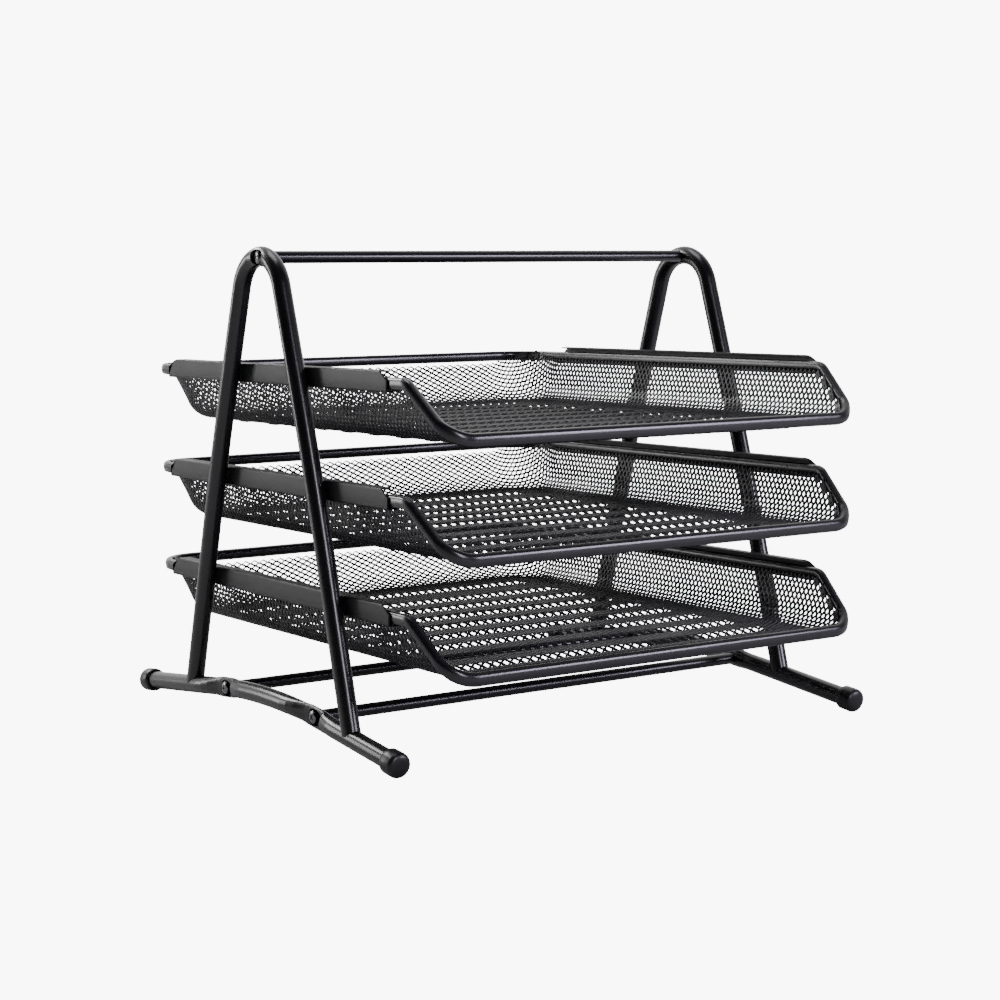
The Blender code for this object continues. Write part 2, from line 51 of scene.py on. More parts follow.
FRAME_X, TUBE_R = 175.0, 6.0
ARCH_APEX_Z, ARCH_BEND_R = 306.5, 27.0
LEG_SLOPE_TOP, LEG_SLOPE_LOW = 0.31, 0.265
BOW_TOP_Z, BOW_LOW_Z = 215.0, 125.0
LEG_STATIONS_Z = (16.0, 40.0, 66.0, 95.0, *np.linspace(BOW_LOW_Z, BOW_TOP_Z, 9), 240.0, 265.0)
ARCH_STEP, ARCH_BEND_STEPS = 6.0, 60
FOOT_CREST_Z, FOOT_BOW_Y, FOOT_END_Z = 23.2, 66.0, 7.9
FOOT_SHORT_Y, FOOT_LONG_Y = 153.5, 172.0
FOOT_STEP, FOOT_FINE_STEPS, FOOT_COARSE_Y, FOOT_COARSE_STEPS = 0.75, 120, 92.0, 12
BAR_R, BAR_FOOT_Y, BAR_FOOT_Z, HANDLE_Z = 4.0, 57.9, 19.8, 305.9
BAR_INSET, BAR_STEP = 4.6, 40.0

CAP_R, CAP_LENGTH, CAP_SOCKET, CAP_FACETS = 8.0, 13.0, 8.5, 64
# The domed end's radius and drop from the tip, outwards from the axis.
CAP_DOME = ((0.0, 0.0), (3.0, 0.12), (5.2, 0.45), (6.6, 1.0), (7.4, 1.7), (7.85, 2.6), (CAP_R, 3.6))
CAP_EDGE = ((0.0, 5.0), (0.1, 1.2), (0.5, 0.35), (0.9, 0.0))  # step inwards, distance from the open end

SCREW_HEAD_R, SCREW_HEAD_H, SCREW_EDGE_SHARE = 4.2, 1.5, 0.35
SCREW_DOME = (15, 30, 45, 60, 72, 82, 90)  # degrees from the head's top
SCREW_SINK = 0.1  # taken off the gap between the head and its seat
SCREW_CHAMFER, SCREW_SHANK_R, SCREW_SHANK_LENGTH, SCREW_TIP_LENGTH = 0.15, 2.0, 14.0, 1.0
RECESS_HALF_L, RECESS_HALF_W, RECESS_STRAIGHT = 2.3, 0.45, 0.4  # of the width, this share doesn't taper
RECESS_TAPER = ((1.0, 1.25), (-1.0, 0.7))  # height from the head's top, share of the length

# The pockets' reach each way from the screw, half height, and seat measured from the tube's centre plane.
POCKET_AHEAD, POCKET_BEHIND, POCKET_HALF_H, POCKET_SEAT = 9.6, 4.8, 5.2, -2.6
POCKET_MOUTH = (9.0, 1.05)  # height over the tube's centre plane, share of outline
POCKET_FACETS = 64
POCKET_WALL = ((3.0, 1.02), (0.5, 1.0), (0.1, 0.96), (0.0, 0.88))  # height over the seat, share of outline
TOP_POCKET_HALF_H, TOP_POCKET_SEAT, TOP_SCREW_LIFT = 4.9, 1.4, 1.7
TOP_PRESS, TOP_FLARE, TOP_PRESS_REACH = 0.15, 0.06, 11.0
TOP_SCREW_Z = ARCH_APEX_Z - 0.6
SCREWS = {  # y, z, turn of the cross in radians, how far the whole screw is moved outwards
    "handle": (0.0, TOP_SCREW_Z, 0.5, TOP_SCREW_LIFT),
    "front_bar": (-BAR_FOOT_Y, BAR_FOOT_Z, 0.9, 0.0),
    "back_bar": (BAR_FOOT_Y, BAR_FOOT_Z, 0.2, 0.0),
}
# Along the foot tube from a screw, to the back on the left side; share of the radius left on the outer face.
DIMPLE_ALONG = (-28.0, -22.0, -17.0, -13.2, -10.5, 4.8, 9.0, 14.0, 20.0, 27.0, 34.0)
DIMPLE_FACE = (1.0, 0.94, 0.82, 0.7, 0.12, 0.12, 0.22, 0.42, 0.68, 0.9, 1.0)
DIMPLE_MIDDLE, DIMPLE_REACH, DIMPLE_FLARE = -2.0, 12.0, 0.14

RUNNER_H, RUNNER_SHEET, RUNNER_FLANGE = 12.7, 1.0, 7.5
RUNNER_SHORT_Y, RUNNER_LONG_Y = (136.0, 127.5), (146.0, 135.0)  # reach at the bottom and at the top
RUNNER_KNEE = 0.55  # share of the height below which the ends are upright
RUNNER_OUTER_X = 168.7
RUNNER_FOLD_R = 1.3

RIM_W, RIM_H, RIM_X, RIM_Z = 6.0, 7.6, 164.3, -1.25
RIM_BACK_Y, RIM_BACK_R = 181.0, 28.0
RIM_BEND_Y, RIM_BEND_R = -152.0, 9.0
RAIL_Y, RAIL_Z = -188.0, -32.8
RAIL_CORNER_X, RAIL_CORNER_R = 158.0, 19.0
RAIL_TALLER, SLOPE_THINNER = 1.1, 0.82  # the front rail and the front slopes against the rest of the rim
RAIL_FROM_Y, SLOPE_FROM_Y, RIM_RAMP = RAIL_Y + 14.0, RIM_BEND_Y + 4.0, 10.0
RIM_FACETS, RIM_STEP, RIM_CORNER_STEPS = 56, 30.0, 16
LIP_ANGLES, LIP_SHARE, LIP_SPREAD = (225.0, 50.0), 0.07, 0.12

FLOOR_Z = -35.2
WALL_TOP_Z = 1.0
CORNER_X, CORNER_Y = 121.3, 133.0  # centres of the basket's back corners in plan
FLOOR_R = 18.0  # the flat floor's own corner radius
BEND_R = 18.0  # from the floor up into the walls
LEAN_SIDE, LEAN_BACK, LEAN_CORNER = math.radians(12.0), math.radians(23.0), math.radians(12.5)

LONG_WAY, SHORT_WAY = 7.3, 4.1
STRAND_W, STRAND_T = 0.85, 0.9
STRAND_TWIST = 0.45  # how far the outer face of each strand lies ahead of its inner face
HEM_H, HEM_OPEN = 3.0, 0.30  # the hem's height, and how far its diamonds stay open
SHEET_SPARE = 60.0  # flat sheet past the corner centres, enough for the walls
RIM_CLEARANCE, RAIL_CLEARANCE = 0.4, 2.2  # diamonds' centres nearer to the rim or the front rail are left out
FLOOR_PART_SPARE = 3.0  # how far the floor's piece of mesh runs into the bend
MERGE_STEP = 0.01  # grid on which neighbouring diamonds share their corners
NORMAL_STEP = 0.05  # how far apart the points are that give the sheet's slope

GROOVE_DEPTH, GROOVE_FLANK, GROOVE_W, GROOVE_END_X = 3.5, 4.0, 16.0, 126.0
GROOVE_PITCH, GROOVE_FIELD_Y, GROOVE_FIELD_COUNT = 32.7, -151.0, 8
GROOVE_BORDER_Y = (-174.0, 119.0)
GROOVE_END_FLANK = 1.5 * GROOVE_FLANK

BLOTCH_SCALE, BLOTCH_TINT, BLOTCH_GLOSS = 38.0, (0.82, 1.2), 0.04
BACKDROP_GLOW = 9.0
STAGE_HALF, STAGE_DROP, STAGE_GREY, STAGE_ROUGHNESS = 6.0, 0.0005, 0.6, 0.9
WORLD_BRIGHT_WAY, WORLD_FADE, WORLD_STRENGTH = (0.5, 0.84, 0.2), (0.1, 0.9), (0.02, 1.3)
WHITE = (1.0, 1.0, 1.0)
LIGHTS = {  # place, height aimed at, width and height, in metres; watts; colour
    "key": ((-0.25, -1.9, 0.75), 0.15, (0.3, 0.7), 13.0, (0.92, 0.88, 1.0)),
    "cross": ((1.15, -1.65, 0.6), 0.15, (0.5, 0.5), 19.0, (0.86, 0.8, 1.0)),
    "back_top": ((-0.5, 1.6, 1.3), 0.1, (1.0, 0.3), 18.0, WHITE),
    "left_back": ((-1.35, 1.7, 0.45), 0.15, (0.3, 0.8), 8.0, WHITE),
    "overhead": ((-0.1, 0.3, 1.9), 0.15, (0.9, 0.9), 10.0, (0.95, 0.92, 1.0)),
}
CAMERA_YAW, CAMERA_PITCH, CAMERA_ROLL = 32.774, -5.158, -0.618  # degrees
CAMERA_EYE = (-821.5, -1164.6, 289.4)
CAMERA_LENS, CAMERA_SENSOR, CAMERA_SHIFT, CAMERA_CLIP = 75.0564, 36.0, (0.1, -0.03), (0.05, 30.0)


# ------------------------------------------------------------------ materials

def noise(tree, place, scale, detail):
    """A noise texture in the object's own coordinates."""
    texture = tree.nodes.new("ShaderNodeTexNoise")
    texture.inputs["Scale"].default_value = scale
    texture.inputs["Detail"].default_value = detail
    tree.links.new(place.outputs["Object"], texture.inputs["Vector"])
    return texture


def powder_coat(name, colour, roughness, grain=900.0, bump=0.12, coat=0.25, metallic=0.0):
    """A painted metal: near-black coat with a fine orange-peel grain and slightly uneven gloss."""
    made = bpy.data.materials.new(name)
    made.use_nodes = True
    nodes, links = made.node_tree.nodes, made.node_tree.links
    shader = nodes["Principled BSDF"]
    shader.inputs["Metallic"].default_value = metallic
    shader.inputs["Coat Weight"].default_value = coat
    shader.inputs["Coat Roughness"].default_value = 0.25
    shader.inputs["IOR"].default_value = 1.5
    place = nodes.new("ShaderNodeTexCoord")
    broad = noise(made.node_tree, place, BLOTCH_SCALE, 3.0)
    fine = noise(made.node_tree, place, grain, 2.0)
    tint = nodes.new("ShaderNodeValToRGB")
    for stop, position, share in zip(tint.color_ramp.elements, (0.3, 0.7), BLOTCH_TINT):
        stop.position = position
        stop.color = (*[c * share for c in colour], 1.0)
    links.new(broad.outputs["Fac"], tint.inputs["Fac"])
    links.new(tint.outputs["Color"], shader.inputs["Base Color"])
    gloss = nodes.new("ShaderNodeMapRange")
    gloss.inputs["To Min"].default_value = roughness - BLOTCH_GLOSS
    gloss.inputs["To Max"].default_value = roughness + BLOTCH_GLOSS
    links.new(broad.outputs["Fac"], gloss.inputs["Value"])
    links.new(gloss.outputs["Result"], shader.inputs["Roughness"])
    relief = nodes.new("ShaderNodeBump")
    relief.inputs["Strength"].default_value = bump
    relief.inputs["Distance"].default_value = 0.0001
    links.new(fine.outputs["Fac"], relief.inputs["Height"])
    links.new(relief.outputs["Normal"], shader.inputs["Normal"])
    return made


TUBE_COAT = powder_coat("tube_coat", (0.006, 0.006, 0.007), 0.26)
BAR_COAT = powder_coat("bar_coat", (0.006, 0.005, 0.008), 0.26)
RUNNER_COAT = powder_coat("runner_coat", (0.010, 0.010, 0.011), 0.48, coat=0.04)
RIM_COAT = powder_coat("rim_coat", (0.007, 0.006, 0.009), 0.26)
MESH_COAT = powder_coat("mesh_coat", (0.009, 0.009, 0.010), 0.38, coat=0.1)
SCREW_COAT = powder_coat(
    "screw_coat", (0.16, 0.16, 0.17), 0.2, grain=1500.0, bump=0.05, coat=0.3, metallic=1.0
)
CAP_PLASTIC = powder_coat("cap_plastic", (0.007, 0.007, 0.008), 0.36, grain=1500.0, bump=0.2, coat=0.0)


# -------------------------------------------------------------------- meshes

def mesh_object(name, points, faces, material, smooth=SHARP_DEGREES):
    """A mesh object from points in the part's unshifted millimetres, smooth up to an angle in degrees."""
    mesh = bpy.data.meshes.new(name)
    place = (np.asarray(points, float) + (0.0, SHIFT_Y, 0.0)) * MM
    mesh.from_pydata(place.tolist(), [], [list(map(int, f)) for f in faces])
    mesh.validate()
    mesh.update()
    if smooth:
        mesh.shade_smooth()
        mesh.set_sharp_from_angle(angle=math.radians(smooth))
    mesh.materials.append(material)
    obj = bpy.data.objects.new(name, mesh)
    bpy.context.scene.collection.objects.link(obj)
    return obj


def assign(obj, body, node):
    """The piece moves with the body and stands for the CAD node, which it hides."""
    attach(obj, body)
    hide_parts(node)


def arc(centre, radius, start, end, count):
    angles = np.radians(np.linspace(start, end, count + 1))
    return [(centre[0] + radius * math.cos(a), centre[1] + radius * math.sin(a)) for a in angles]


def fillet_path(corners, segments):
    """Rounds an open 3D polyline of (point, radius); a zero radius keeps the corner."""
    path = []
    for k, (corner, radius) in enumerate(corners):
        here = Vector(corner)
        if radius == 0 or k in (0, len(corners) - 1):
            path.append(here)
            continue
        back = (Vector(corners[k - 1][0]) - here).normalized()
        ahead = (Vector(corners[k + 1][0]) - here).normalized()
        half = back.angle(ahead) / 2
        reach = radius / math.tan(half)
        centre = here + (back + ahead).normalized() * (radius / math.sin(half))
        first = here + back * reach - centre
        last = here + ahead * reach - centre
        bend = first.angle(last)
        for step in range(segments + 1):
            share = step / segments
            weight_a = math.sin((1 - share) * bend) / math.sin(bend)
            weight_b = math.sin(share * bend) / math.sin(bend)
            path.append(centre + first * weight_a + last * weight_b)
    return path


def resample(path, step):
    """Adds points along straight stretches so that no segment is longer than the step."""
    out = [np.array(path[0], float)]
    for a, b in zip(path, path[1:]):
        a, b = np.array(a, float), np.array(b, float)
        count = max(1, int(math.ceil(np.linalg.norm(b - a) / step)))
        out += [a + (b - a) * k / count for k in range(1, count + 1)]
    return np.array(out)


def sweep_frames(path, cyclic, side):
    """Sideways and upward directions at each point; sideways is square to the given direction."""
    ahead = np.roll(path, -1, axis=0) - path
    behind = path - np.roll(path, 1, axis=0)
    if not cyclic:
        ahead[-1] = behind[-1]
        behind[0] = ahead[0]
    ahead /= np.linalg.norm(ahead, axis=1)[:, None]
    behind /= np.linalg.norm(behind, axis=1)[:, None]
    tangent = ahead + behind
    tangent /= np.linalg.norm(tangent, axis=1)[:, None]
    lateral = np.cross(tangent, side)
    lateral /= np.linalg.norm(lateral, axis=1)[:, None]
    upward = np.cross(lateral, tangent)
    return lateral, upward


def loft_faces(rings, count, cyclic=False):
    """Quads between rings of points, with a cap on each end unless the last ring joins the first."""
    faces = []
    for r in range(rings if cyclic else rings - 1):
        here, there = r * count, (r + 1) % rings * count
        for k in range(count):
            n = (k + 1) % count
            faces.append((here + k, here + n, there + n, there + k))
    if not cyclic:
        faces.append(tuple(reversed(range(count))))
        faces.append(tuple((rings - 1) * count + k for k in range(count)))
    return faces


def sweep(path, section, cyclic=False, side=(0.0, 0.0, 1.0), shape=None):
    """Points and faces of a section of (sideways, upward) pairs swept along a path."""
    path = np.asarray(path, float)
    lateral, upward = sweep_frames(path, cyclic, np.array(side))
    section = np.asarray(section, float)
    offsets = np.repeat(section[None], len(path), axis=0)
    if shape is not None:
        offsets = shape(path, offsets)
    points = path[:, None] + offsets[..., :1] * lateral[:, None] + offsets[..., 1:] * upward[:, None]
    return points.reshape(-1, 3), loft_faces(len(path), len(section), cyclic)


def boxy(value):
    """A sine or cosine pushed outwards, for an oval that fills more of its box."""
    return math.copysign(abs(value) ** BOXY_POWER, value)


def circle(radius, count):
    angles = np.arange(count) * math.tau / count
    return np.stack([radius * np.cos(angles), radius * np.sin(angles)], axis=1)


def turned(profile, steps):
    """Points and faces of a solid of revolution about +Z; the profile starts and ends on the axis."""
    points = [(0.0, 0.0, profile[0][1])]
    for radius, z in profile[1:-1]:
        for k in range(steps):
            a = math.tau * k / steps
            points.append((radius * math.cos(a), radius * math.sin(a), z))
    points.append((0.0, 0.0, profile[-1][1]))
    last = len(points) - 1
    rings = len(profile) - 2
    faces = []
    for k in range(steps):
        n = (k + 1) % steps
        faces.append((0, 1 + k, 1 + n))
        for r in range(rings - 1):
            low = 1 + r * steps
            faces.append((low + k, low + steps + k, low + steps + n, low + n))
        faces.append((last, 1 + (rings - 1) * steps + n, 1 + (rings - 1) * steps + k))
    return np.array(points), faces


def moved(points, matrix):
    return np.array([matrix @ Vector(p) for p in points])


def fix_normals(obj):
    """Turns every face of a closed mesh outwards."""
    work = bmesh.new()
    work.from_mesh(obj.data)
    bmesh.ops.recalc_face_normals(work, faces=work.faces)
    work.to_mesh(obj.data)
    work.free()
    return obj


# ---------------------------------------------------------------- end frames

def leg_y(z):
    """Half the arch's width at height z; the legs steepen gently through the bow."""
    tangent = math.atan(LEG_SLOPE_TOP)
    start_y = ARCH_BEND_R * math.cos(tangent)
    start_z = ARCH_APEX_Z - ARCH_BEND_R + ARCH_BEND_R * math.sin(tangent)
    y = start_y + LEG_SLOPE_TOP * (start_z - z)
    if z < BOW_TOP_Z:
        bow = min(BOW_TOP_Z - z, BOW_TOP_Z - BOW_LOW_Z)
        change = LEG_SLOPE_TOP - LEG_SLOPE_LOW
        y -= change * bow * bow / (2 * (BOW_TOP_Z - BOW_LOW_Z))
        y -= change * max(BOW_LOW_Z - z, 0.0)
    return y


def foot_z(y, end_y):
    """Height of the foot tube's centre at a distance from its middle: a crest, then a straight slope."""
    slope = (FOOT_CREST_Z - FOOT_END_Z) / (end_y - FOOT_BOW_Y / 2)
    if y < FOOT_BOW_Y:
        return FOOT_CREST_Z - slope * y * y / (2 * FOOT_BOW_Y)
    return FOOT_CREST_Z - slope * (y - FOOT_BOW_Y / 2)


def arch_path(side):
    tangent = math.degrees(math.atan(LEG_SLOPE_TOP))
    bend = arc((0.0, ARCH_APEX_Z - ARCH_BEND_R), ARCH_BEND_R, tangent, 180 - tangent, ARCH_BEND_STEPS)
    leg = [(leg_y(z), z) for z in LEG_STATIONS_Z]
    half = leg + bend + [(-y, z) for y, z in reversed(leg)]
    return [(side * FRAME_X, y, z) for y, z in half]


def foot_branch(direction, end_y):
    """One half of the foot tube from its middle outwards, in short steps where the dimples are."""
    stations = [k * FOOT_STEP for k in range(1, FOOT_FINE_STEPS + 1)]
    stations += list(np.linspace(FOOT_COARSE_Y, end_y, FOOT_COARSE_STEPS))
    return [(direction * y, foot_z(y, end_y)) for y in stations]


def foot_path(side):
    """The foot tube's short end points forward on the left side and back on the right side."""
    points = foot_branch(-1, FOOT_SHORT_Y)[::-1] + [(0.0, FOOT_CREST_Z)] + foot_branch(1, FOOT_LONG_Y)
    return [(side * FRAME_X, -side * y, z) for y, z in points]


def pressed_top(side):
    """A shape for sweep: the arch's outer face is pressed in at the top screw, where the tube is taller."""
    def shape(path, offsets):
        off = np.hypot(path[:, 1], path[:, 2] - ARCH_APEX_Z)
        press = np.exp(-((off / TOP_PRESS_REACH) ** 4))[:, None]
        out = offsets.copy()
        across = out[..., 1]
        out[..., 1] = np.where(across * side > 0, across * (1 - TOP_PRESS * press), across)
        out[..., 0] *= 1 + TOP_FLARE * press
        return out
    return shape


def dimpled(side):
    """A shape for sweep: the foot tube's outer face is pressed flat at each screw, crisply on one side."""
    def shape(path, offsets):
        face, tall = np.ones(len(path)), np.zeros(len(path))
        for site in (-BAR_FOOT_Y, BAR_FOOT_Y):
            past = -side * (path[:, 1] - site)
            face = np.minimum(face, np.interp(past, DIMPLE_ALONG, DIMPLE_FACE))
            tall = np.maximum(tall, np.exp(-(((past - DIMPLE_MIDDLE) / DIMPLE_REACH) ** 4)))
        out = offsets.copy()
        across = out[..., 0]
        out[..., 0] = np.where(across < 0, across * face[:, None], across)
        out[..., 1] *= 1 + DIMPLE_FLARE * tall[:, None]
        return out
    return shape


def cut_with(obj, cutter):
    """Applies a Boolean difference and removes the cutter."""
    boolean = obj.modifiers.new("cut", "BOOLEAN")
    boolean.operation = "DIFFERENCE"
    boolean.solver = "EXACT"
    boolean.object = cutter
    bpy.context.view_layer.update()
    graph = bpy.context.evaluated_depsgraph_get()
    mesh = bpy.data.meshes.new_from_object(obj.evaluated_get(graph))
    obj.modifiers.clear()
    old = obj.data
    obj.data = mesh
    bpy.data.meshes.remove(old)
    bpy.data.objects.remove(cutter, do_unlink=True)
    mesh.shade_smooth()
    mesh.set_sharp_from_angle(angle=math.radians(SHARP_DEGREES))


def outward_matrix(side, x, y, z):
    """Puts a shape modelled along +Z at (x, y, z) of one side, pointing away from the middle."""
    return Matrix.Translation((side * x, y, z)) @ Matrix.Rotation(side * math.pi / 2, 4, "Y")


def pocket(name, side, y, z, half_h, seat):
    """The pocket's cutter: an oval well with upright walls, longer to the front on the left side."""
    rings = [POCKET_MOUTH] + [(seat + height, grow) for height, grow in POCKET_WALL]
    points = []
    for height, grow in rings:
        for k in range(POCKET_FACETS):
            a = math.tau * k / POCKET_FACETS
            reach = POCKET_AHEAD if side * math.cos(a) > 0 else POCKET_BEHIND
            along = reach * boxy(math.cos(a))
            high = half_h * boxy(math.sin(a))
            points.append((side * (FRAME_X + height), y + grow * along, z + grow * high))
    faces = loft_faces(len(rings), POCKET_FACETS)
    return fix_normals(mesh_object(name, points, faces, TUBE_COAT, smooth=0))


def end_frame(side, label):
    """An arch tube and a foot tube, with the pockets for their three screws."""
    tube = circle(TUBE_R, ROUND_FACETS)
    path = resample(arch_path(side), ARCH_STEP)
    points, faces = sweep(path, tube, side=(1.0, 0.0, 0.0), shape=pressed_top(side))
    arch = fix_normals(mesh_object(f"{label}_arch", points, faces, TUBE_COAT))
    points, faces = sweep(foot_path(side), tube, shape=dimpled(side))
    foot = fix_normals(mesh_object(f"{label}_foot", points, faces, TUBE_COAT))
    top = pocket(f"{label}_top_pocket", side, 0.0, TOP_SCREW_Z, TOP_POCKET_HALF_H, TOP_POCKET_SEAT)
    cut_with(arch, top)
    for label_y, y in (("front", -BAR_FOOT_Y), ("back", BAR_FOOT_Y)):
        low = pocket(f"{label}_{label_y}_pocket", side, y, BAR_FOOT_Z, POCKET_HALF_H, POCKET_SEAT)
        cut_with(foot, low)
    assign(arch, "frame", f"{label}_arch_tube")
    assign(foot, "frame", f"{label}_foot_tube")


def foot_cap(side, direction, label):
    """A domed plastic cap over one end of a foot tube, flat where it stands."""
    short = (direction < 0) == (side < 0)
    end_y = FOOT_SHORT_Y if short else FOOT_LONG_Y
    slope = math.atan((FOOT_CREST_Z - FOOT_END_Z) / (end_y - FOOT_BOW_Y / 2))
    bore = TUBE_R + GAP
    profile = [(radius, -drop) for radius, drop in CAP_DOME]
    profile += [(CAP_R - inset, rise - CAP_LENGTH) for inset, rise in CAP_EDGE]
    profile += [(bore, -CAP_LENGTH), (bore, CAP_SOCKET - CAP_LENGTH), (0.0, CAP_SOCKET - CAP_LENGTH)]
    points, faces = turned(profile, CAP_FACETS)
    outward = Vector((0.0, direction * math.cos(slope), -math.sin(slope)))
    tube_end = Vector((side * FRAME_X, direction * end_y, FOOT_END_Z))
    tip = tube_end + outward * (CAP_LENGTH - CAP_SOCKET + GAP)
    turn = Matrix.Rotation(-direction * (math.pi / 2 + slope), 4, "X")
    points = moved(points, Matrix.Translation(tip) @ turn)
    points[:, 2] = np.maximum(points[:, 2], 0.0)
    cap = fix_normals(mesh_object(f"{label}_foot_cap", points, faces, CAP_PLASTIC))
    assign(cap, "frame", f"{label}_cap")


def bar(name, y, z):
    """A round bar whose ends reach into the tubes."""
    path = resample([(-FRAME_X + BAR_INSET, y, z), (FRAME_X - BAR_INSET, y, z)], BAR_STEP)
    points, faces = sweep(path, circle(BAR_R, ROUND_FACETS))
    made = fix_normals(mesh_object(name + "_rod", points, faces, BAR_COAT))
    assign(made, "frame", name)


def screw_profile():
    """The outline from the head's top to the shank's tip; the head reaches down to the pocket's seat."""
    outline = [(0.0, SCREW_HEAD_H)]
    for a in np.radians(SCREW_DOME):
        share = SCREW_EDGE_SHARE + (1 - SCREW_EDGE_SHARE) * math.cos(a)
        outline.append((SCREW_HEAD_R * math.sin(a), SCREW_HEAD_H * share))
    under = POCKET_SEAT - SCREW_SINK
    outline += [(SCREW_HEAD_R, under + SCREW_CHAMFER), (SCREW_HEAD_R - SCREW_CHAMFER, under)]
    outline += [(SCREW_SHANK_R, under), (SCREW_SHANK_R, -SCREW_SHANK_LENGTH)]
    return outline + [(0.0, -SCREW_SHANK_LENGTH - SCREW_TIP_LENGTH)]


def recess_corners():
    """One slot of the cross, wider and longer at its mouth."""
    corners = []
    for height, grow in RECESS_TAPER:
        half_l = RECESS_HALF_L * grow
        half_w = RECESS_HALF_W * (RECESS_STRAIGHT + (1 - RECESS_STRAIGHT) * grow)
        for u, v in ((-1, -1), (1, -1), (1, 1), (-1, 1)):
            corners.append((u * half_l, v * half_w, SCREW_HEAD_H + height))
    return corners


def screw(name, side, y, z, spin, lift):
    """A pan head with a cross recess on a plain shank."""
    points, faces = turned(screw_profile(), ROUND_FACETS)
    place = outward_matrix(side, FRAME_X + GAP + lift, y, z)
    made = fix_normals(mesh_object(name + "_head", moved(points, place), faces, SCREW_COAT))
    for turn in (0.0, math.pi / 2):
        corners = moved(recess_corners(), place @ Matrix.Rotation(turn + spin, 4, "Z"))
        cutter = mesh_object(name + "_recess", corners, loft_faces(2, 4), SCREW_COAT, smooth=0)
        cut_with(made, fix_normals(cutter))
    assign(made, "frame", name)


def runner_section():
    """The channel's outline as (distance out, height) pairs, with its folds outside and its knees marked."""
    outer, inner, half, sheet = RUNNER_OUTER_X, RUNNER_OUTER_X - RUNNER_FLANGE, RUNNER_H / 2, RUNNER_SHEET
    fold = RUNNER_FOLD_R
    knee = RUNNER_H * RUNNER_KNEE - half
    section = [(inner, half)]
    section += arc((outer - fold, half - fold), fold, 90, 0, 4)
    section += [(outer, knee)]
    section += arc((outer - fold, -half + fold), fold, 0, -90, 4)
    section += [(inner, -half), (inner, -half + sheet)]
    section += arc((outer - fold, -half + fold), fold - sheet, -90, 0, 3)
    section += [(outer - sheet, knee)]
    section += arc((outer - fold, half - fold), fold - sheet, 0, 90, 3)
    return section + [(inner, half - sheet)]


def runner_reach(height, bottom, top):
    """How far an end reaches at a height over the middle: upright up to the knee, then drawn in."""
    slant = max((height + RUNNER_H / 2) / RUNNER_H - RUNNER_KNEE, 0.0) / (1.0 - RUNNER_KNEE)
    return bottom + (top - bottom) * (slant * slant * 0.5 + slant * 0.5)


def runner(side, z, name):
    """A channel of folded sheet with rounded folds and slanted ends."""
    section = runner_section()
    points = []
    for direction in (-1, 1):
        bottom, top = RUNNER_SHORT_Y if direction == side else RUNNER_LONG_Y
        for x, height in section:
            points.append((side * x, direction * runner_reach(height, bottom, top), z + height))
    faces = loft_faces(2, len(section))
    made = fix_normals(mesh_object(name + "_channel", points, faces, RUNNER_COAT))
    assign(made, "frame", name)


# --------------------------------------------------------------------- trays

def rim_path():
    """The rim's centre line: level round the back and sides, then down the front slopes to the low rail."""
    half = fillet_path(
        [
            ((0.0, RIM_BACK_Y, RIM_Z), 0.0),
            ((RIM_X, RIM_BACK_Y, RIM_Z), RIM_BACK_R),
            ((RIM_X, RIM_BEND_Y, RIM_Z), RIM_BEND_R),
            ((RAIL_CORNER_X, RAIL_Y, RAIL_Z), RAIL_CORNER_R),
            ((0.0, RAIL_Y, RAIL_Z), 0.0),
        ],
        RIM_CORNER_STEPS,
    )
    return [tuple(p) for p in half] + [(-p.x, p.y, p.z) for p in reversed(half[1:-1])]


def rim_section():
    """An oval tube with a lip along its lower outer side and another along its upper inner side."""
    section = []
    for k in range(RIM_FACETS):
        a = math.tau * k / RIM_FACETS
        lip = 1.0
        for place in LIP_ANGLES:
            away = math.remainder(a - math.radians(place), math.tau)
            lip += LIP_SHARE * math.exp(-((away / LIP_SPREAD) ** 2))
        section.append((lip * RIM_W / 2 * boxy(math.cos(a)), lip * RIM_H / 2 * boxy(math.sin(a))))
    return section


def taller_rail(path, offsets):
    """A shape for sweep: the rim is thinner down the front slopes and taller along the front."""
    out = offsets.copy()
    rail = np.clip((RAIL_FROM_Y - path[:, 1]) / RIM_RAMP, 0.0, 1.0)
    slope = np.clip((SLOPE_FROM_Y - path[:, 1]) / RIM_RAMP, 0.0, 1.0)
    share = 1 + (SLOPE_THINNER - 1) * slope + (RAIL_TALLER - SLOPE_THINNER) * rail
    out[..., 1] *= share[:, None]
    return out


def tray_rim(level, z):
    path = np.array(rim_path()) + (0.0, 0.0, z)
    closed = resample([*path, path[0]], RIM_STEP)[:-1]
    points, faces = sweep(closed, rim_section(), cyclic=True, shape=taller_rail)
    made = fix_normals(mesh_object(f"{level}_tray_rolled_rim", points, faces, RIM_COAT, smooth=60))
    assign(made, f"{level}_tray", f"{level}_tray_rim")


def groove_depth(x, y):
    """Depth of the floor's pressed grooves at (x, y): flat-bottomed channels along X with sloping ends."""
    fronts = [GROOVE_FIELD_Y + GROOVE_PITCH * k for k in range(GROOVE_FIELD_COUNT)]
    fronts += GROOVE_BORDER_Y
    total = np.zeros_like(x)
    end = np.clip((GROOVE_END_X - np.abs(x)) / GROOVE_END_FLANK, 0.0, 1.0)
    for front in fronts:
        slope = np.clip((GROOVE_W / 2 - np.abs(y - front - GROOVE_W / 2)) / GROOVE_FLANK, 0.0, 1.0)
        total = np.maximum(total, np.minimum(slope, end))
    eased = total * total * (3 - 2 * total)
    return GROOVE_DEPTH * (0.5 * eased + 0.5 * total)


